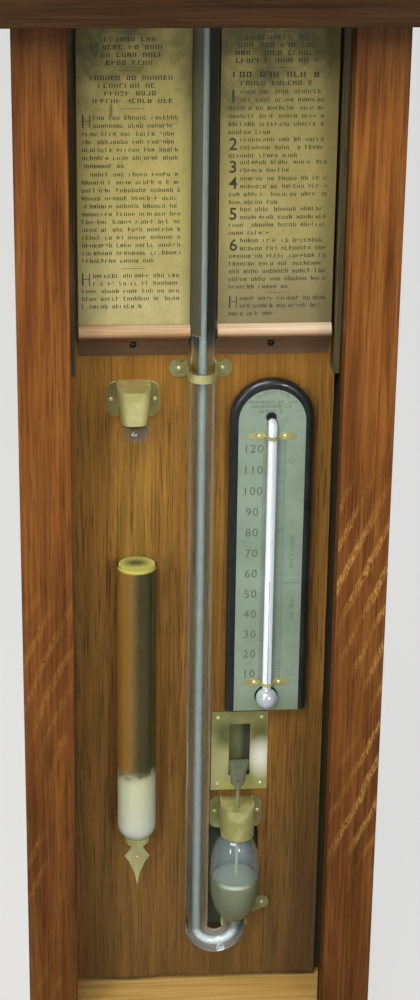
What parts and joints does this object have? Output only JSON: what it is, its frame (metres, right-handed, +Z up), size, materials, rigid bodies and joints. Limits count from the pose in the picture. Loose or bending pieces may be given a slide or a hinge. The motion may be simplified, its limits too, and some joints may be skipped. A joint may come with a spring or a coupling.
{
  "type": "siphon tube wall barometer",
  "caption": "Wall barometer in a glazed oak case: siphon mercury tube with an open bulb, storm glass, thermometer, paper registers and recording pointers on side knobs.",
  "frame": {"origin": "centre of the hanging hole, in the plane of the wall", "axes": "+Z up, +X to the viewer's right, +Y into the wall; the wall is the plane y = 0"},
  "size_m": [0.274, 0.086, 1.0922],
  "materials": {
    "dark_oak": "dark waxed oak",
    "stained_oak": "stained oak, satin",
    "board_wood": "stained boards, matt",
    "moulding_wood": "worn waxed moulding",
    "pine": "bare pine",
    "pane_glass": "clear old sheet glass",
    "tube_glass": "clear blown glass",
    "mercury": "liquid metal",
    "aged_paper": "aged print paper",
    "aged_brass": "tarnished sheet brass",
    "steel": "dull steel",
    "storm_liquid": "olive-yellow spirit solution",
    "camphor": "feathery camphor crystals",
    "ebonised": "ebonised and polished wood",
    "silvered": "silvered brass, dull",
    "enamel": "enamel-backed glass stem"
  },
  "bodies": {
    "case": {"case_back": "board_wood", "case_side_left": "stained_oak", "case_side_right": "stained_oak", "case_floor": "pine", "front_stile_left": "stained_oak", "front_stile_right": "stained_oak", "bottom_rail": "stained_oak", "base_moulding": "dark_oak", "trunk_glass": "pane_glass", "glass_beads": "dark_oak", "hood_bar": "dark_oak", "hood_bar_returns": "dark_oak", "hood_cheek_left": "stained_oak", "hood_cheek_right": "stained_oak", "hood_stile_left": "stained_oak", "hood_stile_right": "stained_oak", "hood_top_rail": "stained_oak", "hood_glass": "pane_glass", "hood_top_board": "stained_oak", "cornice": "dark_oak", "pediment": "stained_oak", "finial": "dark_oak", "hanging_plate": "aged_brass", "hanging_screws": "steel", "mounting_board": "board_wood", "register_board_left": "board_wood", "register_board_right": "board_wood", "register_moulding_left": "moulding_wood", "register_moulding_right": "moulding_wood", "lower_paper_left": "aged_paper", "lower_paper_right": "aged_paper", "upper_paper_left": "aged_paper", "upper_paper_right": "aged_paper", "side_batten_left": "dark_oak", "side_batten_right": "dark_oak", "siphon_tube": "tube_glass", "mercury": "mercury", "tube_strap": "aged_brass", "upper_tube_strap": "aged_brass", "neck_clip": "aged_brass", "bulb_hood": "aged_brass", "bulb_lid": "aged_brass", "window_plate": "aged_brass", "storm_glass": "tube_glass", "storm_liquid": "storm_liquid", "storm_crystals": "camphor", "storm_hood": "aged_brass", "storm_bracket": "aged_brass", "thermometer_board": "ebonised", "scale_plate": "silvered", "thermometer_tube": "enamel", "thermometer_mercury": "mercury", "thermometer_clips": "aged_brass", "brass_nails": "aged_brass"},
    "plug": {"plug_slide": "steel", "plug_rod": "steel"},
    "knob_left": {"adjuster_left": "aged_brass"},
    "knob_right": {"adjuster_right": "aged_brass"},
    "pointer_left_body": {"pointer_left": "aged_brass"},
    "pointer_right_body": {"pointer_right": "aged_brass"}
  },
  "joints": [
    {"name": "plug_lift", "type": "slide", "parent": "case", "child": "plug", "axis": [0, 0, 1], "range_m": [-0.005, 0.022]},
    {"name": "knob_left_turn", "type": "hinge", "parent": "case", "child": "knob_left", "pos_m": [0, -0.015, -0.205], "axis": [1, 0, 0], "range_deg": [-405, 787]},
    {"name": "knob_right_turn", "type": "hinge", "parent": "case", "child": "knob_right", "pos_m": [0, -0.015, -0.205], "axis": [1, 0, 0], "range_deg": [-346, 847]},
    {"name": "pointer_left_slide", "type": "slide", "parent": "case", "child": "pointer_left_body", "axis": [0, 0, 1], "range_m": [-0.066, 0.034]},
    {"name": "pointer_right_slide", "type": "slide", "parent": "case", "child": "pointer_right_body", "axis": [0, 0, 1], "range_m": [-0.071, 0.029]}
  ],
  "couplings": [
    {"joint": "pointer_left_slide", "follows": "knob_left_turn", "m_per_rad": -0.0048},
    {"joint": "pointer_right_slide", "follows": "knob_right_turn", "m_per_rad": -0.0048}
  ]
}
